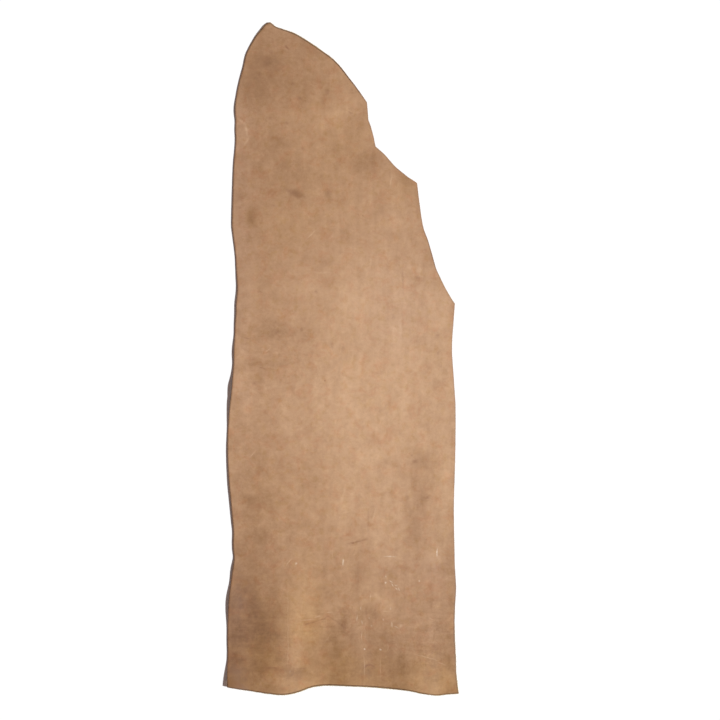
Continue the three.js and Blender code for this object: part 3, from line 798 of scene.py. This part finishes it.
def fibre_tree(edge, finish_of_fibres):
    """Bent, tapered fibres, strewn over the faces of a mesh that have the edge's material."""
    tree = bpy.data.node_groups.new("pulled_fibres", "GeometryNodeTree")
    tree.interface.new_socket("Geometry", in_out="INPUT", socket_type="NodeSocketGeometry")
    for name, value in FIBRES.items():
        kind = "NodeSocketInt" if isinstance(value, int) else "NodeSocketFloat"
        tree.interface.new_socket(name, in_out="INPUT", socket_type=kind)
    tree.interface.new_socket("Geometry", in_out="OUTPUT", socket_type="NodeSocketGeometry")
    asked = add(tree, "NodeGroupInput", out=None).outputs
    seed = asked["Seed"]

    # They start below the grain, most of them near the flesh side and where the cut is torn. Where it is
    # clean, there are a tenth as many.
    depth, torn = (
        add(tree, "GeometryNodeInputNamedAttribute", {"Name": name}, out="Attribute", data_type="FLOAT")
        for name in ("depth", "torn")
    )
    torn = add(tree, "ShaderNodeMath", (torn, 0.9, 0.1), operation="MULTIPLY_ADD")
    share = add(tree, "ShaderNodeMath", (depth, torn), operation="MULTIPLY")
    crowd = add(tree, "ShaderNodeMath", (share, asked["Per Square Metre"]), operation="MULTIPLY")
    at_cut = add(tree, "GeometryNodeMaterialSelection", {"Material": edge})
    inputs = {"Mesh": asked["Geometry"], "Selection": at_cut, "Density": crowd, "Seed": seed}
    strewn = add(
        tree, "GeometryNodeDistributePointsOnFaces", inputs, out=None, distribute_method="RANDOM"
    ).outputs

    # One fibre, a unit long: a bent line with a three-sided section that tapers to its tip.
    bend = {"Resolution": 3, "Start": (0, 0, 0), "Middle": (0, 0, 0.6), "End": (0.45, 0, 1)}
    line = add(tree, "GeometryNodeCurveQuadraticBezier", bend)
    along = add(tree, "GeometryNodeSplineParameter", out="Factor")
    taper = add(tree, "ShaderNodeMapRange", (along, 0, 1, 1, 0.25))
    ring = {"Resolution": 3, "Radius": asked["Thickness"]}
    section = add(tree, "GeometryNodeCurvePrimitiveCircle", ring)
    swept = {"Curve": line, "Profile Curve": section, "Scale": taper, "Fill Caps": True}
    fibre = add(tree, "GeometryNodeCurveToMesh", swept)

    # They point out of the cut, tousled, each turned about itself and of its own length.
    tousle = {"Min": (-0.9, -0.9, 0.0), "Max": (0.9, 0.9, 0.8), "Seed": seed}
    tousle = add(tree, "FunctionNodeRandomValue", tousle, data_type="FLOAT_VECTOR")
    level = add(tree, "ShaderNodeVectorMath", (strewn["Normal"], (1, 1, 0)), operation="MULTIPLY")
    way = add(tree, "ShaderNodeVectorMath", (level, tousle), operation="ADD")
    turned = add(tree, "FunctionNodeAlignRotationToVector", {"Vector": way}, axis="Z")
    spin, share = (
        add(tree, "FunctionNodeRandomValue", {2: low, 3: high, "Seed": seed}, out=1, data_type="FLOAT")
        for low, high in ((0.0, math.tau), (0.3, 1.0))
    )
    spin = add(tree, "ShaderNodeCombineXYZ", {"Z": spin})
    spin = add(tree, "FunctionNodeEulerToRotation", {"Euler": spin})
    turned = add(tree, "FunctionNodeRotateRotation", (turned, spin), rotation_space="LOCAL")
    long = add(tree, "ShaderNodeMath", (share, asked["Length"]), operation="MULTIPLY")
    size = add(tree, "ShaderNodeCombineXYZ", (long, long, long))
    placed = {"Points": strewn["Points"], "Instance": fibre, "Rotation": turned, "Scale": size}
    tuft = add(tree, "GeometryNodeInstanceOnPoints", placed)
    tuft = add(tree, "GeometryNodeRealizeInstances", {"Geometry": tuft})

    # Where one would sink into the floor, it lies on it.
    at = add(tree, "GeometryNodeInputPosition")
    at = add(tree, "ShaderNodeSeparateXYZ", {"Vector": at}, out=None).outputs
    above = add(tree, "ShaderNodeMath", (at["Z"], asked["Floor"]), operation="MAXIMUM")
    at = add(tree, "ShaderNodeCombineXYZ", (at["X"], at["Y"], above))
    tuft = add(tree, "GeometryNodeSetPosition", {"Geometry": tuft, "Position": at})
    tuft = add(tree, "GeometryNodeSetMaterial", {"Geometry": tuft, "Material": finish_of_fibres})
    add(tree, "NodeGroupOutput", {"Geometry": tuft}, out=None)
    return tree


def baked(name, source, tree, sizes):
    """The plain mesh that a tree makes of a source, as a piece of its own."""
    grower = put_in_scene(name, source)
    modifier = grower.modifiers.new(name, "NODES")
    modifier.node_group = tree
    for item in tree.interface.items_tree:
        if item.in_out == "INPUT" and item.name in sizes:
            modifier[item.identifier] = sizes[item.name]
    grown = grower.evaluated_get(bpy.context.evaluated_depsgraph_get())
    grower.data = bpy.data.meshes.new_from_object(grown)
    grower.modifiers.clear()
    grower.data.name = name
    return grower


fibres = baked("edge_fibres", hide.data, fibre_tree(cut, straw), FIBRES)


# ---------------------------------------------------------------------------------------------------------
# The stage
# ---------------------------------------------------------------------------------------------------------
WHITE = (1, 1, 1, 1)
SEEN = 1463  # how much of the stage the camera takes in, across
CAMERA_HEIGHT = 3200
LOOKS_AT = (270.3, 682.8)  # from the datum
FLOOR_HALF = 7000
FLOOR_DROP = 0.25  # below the leather, so that the two don't share a plane
FLOOR_GLOW = 0.02  # what the camera sees the floor shine by, beyond the light on it
KEY_HEIGHT, KEY_TURN = 47, -6  # degrees above the floor, and round from +X
KEY_STRENGTH = 0.9  # on the floor, where 1 makes white paint white
KEY_COLOUR, KEY_SPREAD = (0.95, 1.0, 1.03), 3  # a linear colour, and degrees across
FILL_COLOUR, FILL_STRENGTH = (1, 0.70, 0.61, 1), 0.165


def camera():
    """Straight above the leather, with its tip up."""
    lens = bpy.data.cameras.new("camera")
    lens.lens = lens.sensor_width * CAMERA_HEIGHT / SEEN
    eye = put_in_scene("camera", lens)
    eye.location = ((DATUM[0] + LOOKS_AT[0]) * MM, (DATUM[1] + LOOKS_AT[1]) * MM, CAMERA_HEIGHT * MM)
    bpy.context.scene.camera = eye


def shown(tree):
    """1 for a ray from the camera, or one that a surface mirrors or lets through, and 0 for the light."""
    path = add(tree, "ShaderNodeLightPath", out=None).outputs
    seen = add(tree, "ShaderNodeMath", (path["Is Camera Ray"], path["Is Glossy Ray"]), operation="MAXIMUM")
    return add(tree, "ShaderNodeMath", (seen, path["Is Transmission Ray"]), operation="MAXIMUM")


def floor():
    """A pale matt floor that keeps the leather's shadow and otherwise shows white."""
    half, top = FLOOR_HALF * MM, HIDE_LOW.z - FLOOR_DROP * MM
    mesh = bpy.data.meshes.new("floor")
    corners = [(-half, -half, top), (half, -half, top), (half, half, top), (-half, half, top)]
    mesh.from_pydata(corners, [], [(0, 1, 2, 3)])
    material, tree = finish("matt_white_floor")
    paint = add(tree, "ShaderNodeBsdfDiffuse", {"Color": WHITE})
    glow = add(tree, "ShaderNodeMath", (shown(tree), FLOOR_GLOW), operation="MULTIPLY")
    lit = add(tree, "ShaderNodeEmission", {"Color": WHITE, "Strength": glow})
    both = add(tree, "ShaderNodeAddShader", (paint, lit))
    add(tree, "ShaderNodeOutputMaterial", {"Surface": both}, out=None)
    mesh.materials.append(material)
    put_in_scene("floor", mesh)


def lights():
    """A key light from the right, and a weak warm fill from all round."""
    key = bpy.data.lights.new("key", "SUN")
    height, turn = math.radians(KEY_HEIGHT), math.radians(KEY_TURN)
    key.energy = KEY_STRENGTH * math.pi / math.sin(height)
    key.color = KEY_COLOUR
    key.angle = math.radians(KEY_SPREAD)
    sun = put_in_scene("key", key)
    level = math.cos(height)
    towards = Vector((math.cos(turn) * level, math.sin(turn) * level, math.sin(height)))
    sun.rotation_mode = "QUATERNION"
    sun.rotation_quaternion = towards.to_track_quat("Z", "Y")

    world = bpy.data.worlds.new("studio")
    bpy.context.scene.world = world
    world.use_nodes = True
    tree = world.node_tree
    tree.nodes.clear()
    fill = add(tree, "ShaderNodeBackground", {"Color": FILL_COLOUR, "Strength": FILL_STRENGTH})
    white = add(tree, "ShaderNodeBackground", {"Color": WHITE, "Strength": 1.0})
    both = add(tree, "ShaderNodeMixShader", (shown(tree), fill, white))
    add(tree, "ShaderNodeOutputWorld", {"Surface": both}, out=None)


camera()
floor()
lights()
bpy.context.scene.view_settings.view_transform = "Standard"

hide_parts("hide")
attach(hide, "root")
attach(fibres, "root")
